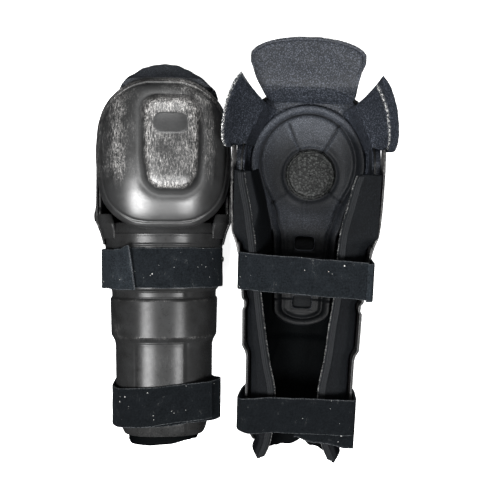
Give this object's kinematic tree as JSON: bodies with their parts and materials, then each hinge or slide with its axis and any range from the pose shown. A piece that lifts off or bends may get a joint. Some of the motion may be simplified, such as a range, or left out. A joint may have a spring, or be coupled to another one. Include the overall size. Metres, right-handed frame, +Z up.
{
  "type": "hockey knee and shin guards",
  "caption": "Pair of hard-shell knee and shin guards: curved shin shells, hinged domed knee caps, foam liners with a moulded knee pad, thigh flaps, wings and wrap-around elastic straps.",
  "frame": {"origin": "middle of the pair's box, on the floor that it lies on", "axes": "+Y along the guards from the ankle ends to the thigh ends, +Z up, +X from the left guard to the right one"},
  "size_m": [0.3487, 0.4976, 0.134],
  "materials": {
    "shell_plastic": "semi-gloss moulded black, scuffed",
    "cup_plastic": "satin moulded black",
    "cap_plastic": "semi-gloss moulded black with pale scuffs on the crown and shoulders",
    "rivet_metal": "dark satin rivets",
    "liner_foam": "thin laminated foam, fine leather-like grain",
    "pad_fabric": "laminated foam side pads, smooth dark cloth",
    "binding_tape": "ribbed sewn binding tape",
    "flap_leather": "pebbled leatherette over foam, dark bluish grey",
    "pad_foam": "moulded foam with a fine skin",
    "grained_disc": "leather-grained disc",
    "webbing": "flat webbing",
    "elastic_strap": "brushed loop-pile elastic with lint",
    "hook_tape": "hook tape"
  },
  "bodies": {
    "right_shin": {"right_shin_shell": "shell_plastic", "right_pivot_rivets": "rivet_metal", "right_strap_rivets": "rivet_metal", "right_shin_liner": "liner_foam", "right_ankle_pad": "liner_foam", "right_side_pad_inner": "pad_fabric", "right_side_pad_outer": "pad_fabric", "right_side_binding_inner": "binding_tape", "right_side_binding_outer": "binding_tape", "right_pad_tongue": "pad_foam", "right_link_strap": "webbing", "right_upper_strap_front": "elastic_strap", "right_upper_strap_rear": "elastic_strap", "right_lower_strap_front": "elastic_strap", "right_lower_strap_rear": "elastic_strap"},
    "right_cup": {"right_knee_cup": "cup_plastic", "right_knee_cap": "cap_plastic", "right_cap_rivets": "rivet_metal", "right_cup_liner": "flap_leather", "right_knee_pad": "pad_foam", "right_knee_disc": "grained_disc"},
    "right_flap": {"right_thigh_flap": "flap_leather"},
    "right_inner_wing": {"right_wing_inner": "flap_leather"},
    "right_outer_wing": {"right_wing_outer": "flap_leather"},
    "right_upper_closure": {"right_upper_strap_end": "elastic_strap", "right_upper_hook_patch": "hook_tape"},
    "right_lower_closure": {"right_lower_strap_end": "elastic_strap", "right_lower_hook_patch": "hook_tape"},
    "left_shin": {"left_shin_shell": "shell_plastic", "left_pivot_rivets": "rivet_metal", "left_strap_rivets": "rivet_metal", "left_shin_liner": "liner_foam", "left_ankle_pad": "liner_foam", "left_side_pad_inner": "pad_fabric", "left_side_pad_outer": "pad_fabric", "left_side_binding_inner": "binding_tape", "left_side_binding_outer": "binding_tape", "left_pad_tongue": "pad_foam", "left_link_strap": "webbing", "left_upper_strap_front": "elastic_strap", "left_upper_strap_rear": "elastic_strap", "left_lower_strap_front": "elastic_strap", "left_lower_strap_rear": "elastic_strap"},
    "left_cup": {"left_knee_cup": "cup_plastic", "left_knee_cap": "cap_plastic", "left_cap_rivets": "rivet_metal", "left_cup_liner": "flap_leather", "left_knee_pad": "pad_foam", "left_knee_disc": "grained_disc"},
    "left_flap": {"left_thigh_flap": "flap_leather"},
    "left_inner_wing": {"left_wing_inner": "flap_leather"},
    "left_outer_wing": {"left_wing_outer": "flap_leather"},
    "left_upper_closure": {"left_upper_strap_end": "elastic_strap", "left_upper_hook_patch": "hook_tape"},
    "left_lower_closure": {"left_lower_strap_end": "elastic_strap", "left_lower_hook_patch": "hook_tape"}
  },
  "joints": [
    {"name": "guards_apart", "type": "slide", "parent": "right_shin", "child": "left_shin", "axis": [-1, 0, 0], "range_m": [0, 0.12]},
    {"name": "right_knee_pivot", "type": "hinge", "parent": "right_shin", "child": "right_cup", "pos_m": [0.07697, 0.03315, 0.06537], "axis": [0.9978, -0.0418, 0.0523], "range_deg": [0, 15]},
    {"name": "right_flap_fold", "type": "hinge", "parent": "right_cup", "child": "right_flap", "pos_m": [0.08363, 0.18871, 0.06257], "axis": [0.9978, -0.0418, 0.0523], "range_deg": [0, 75], "stiffness_Nm_per_rad": 0.4},
    {"name": "right_inner_wing_fold", "type": "hinge", "parent": "right_cup", "child": "right_inner_wing", "pos_m": [0.0071, 0.1209, 0.08212], "axis": [0.437, 0.8531, -0.2852], "range_deg": [0, 78], "stiffness_Nm_per_rad": 0.3},
    {"name": "right_outer_wing_fold", "type": "hinge", "parent": "right_cup", "child": "right_outer_wing", "pos_m": [0.15178, 0.11484, 0.08971], "axis": [0.3321, -0.8853, 0.3256], "range_deg": [0, 78], "stiffness_Nm_per_rad": 0.3},
    {"name": "right_upper_strap_open", "type": "hinge", "parent": "right_shin", "child": "right_upper_closure", "pos_m": [0.14668, -0.03668, 0.11614], "axis": [-0.0325, -0.9852, -0.1683], "range_deg": [0, 80]},
    {"name": "right_lower_strap_open", "type": "hinge", "parent": "right_shin", "child": "right_lower_closure", "pos_m": [0.12974, -0.19185, 0.08894], "axis": [-0.0325, -0.9852, -0.1683], "range_deg": [0, 80]},
    {"name": "left_knee_pivot", "type": "hinge", "parent": "left_shin", "child": "left_cup", "pos_m": [-0.08608, 0.0397, 0.05283], "axis": [-0.9962, 0, 0.0872], "range_deg": [0, 15]},
    {"name": "left_flap_fold", "type": "hinge", "parent": "left_cup", "child": "left_flap", "pos_m": [-0.08355, 0.1927, 0.08172], "axis": [-0.9962, 0, 0.0872], "range_deg": [-75, 0], "stiffness_Nm_per_rad": 0.4},
    {"name": "left_inner_wing_fold", "type": "hinge", "parent": "left_cup", "child": "left_inner_wing", "pos_m": [-0.01438, 0.1267, 0.04053], "axis": [-0.3449, 0.8066, 0.48], "range_deg": [-78, 0], "stiffness_Nm_per_rad": 0.3},
    {"name": "left_outer_wing_fold", "type": "hinge", "parent": "left_cup", "child": "left_outer_wing", "pos_m": [-0.15883, 0.1267, 0.05317], "axis": [-0.423, -0.8066, -0.4128], "range_deg": [-78, 0], "stiffness_Nm_per_rad": 0.3},
    {"name": "left_upper_strap_open", "type": "hinge", "parent": "left_shin", "child": "left_upper_closure", "pos_m": [-0.16245, -0.0183, 0.00179], "axis": [0, -1, 0], "range_deg": [0, 80]},
    {"name": "left_lower_strap_open", "type": "hinge", "parent": "left_shin", "child": "left_lower_closure", "pos_m": [-0.15066, -0.1763, 0.00076], "axis": [0, -1, 0], "range_deg": [0, 80]}
  ]
}
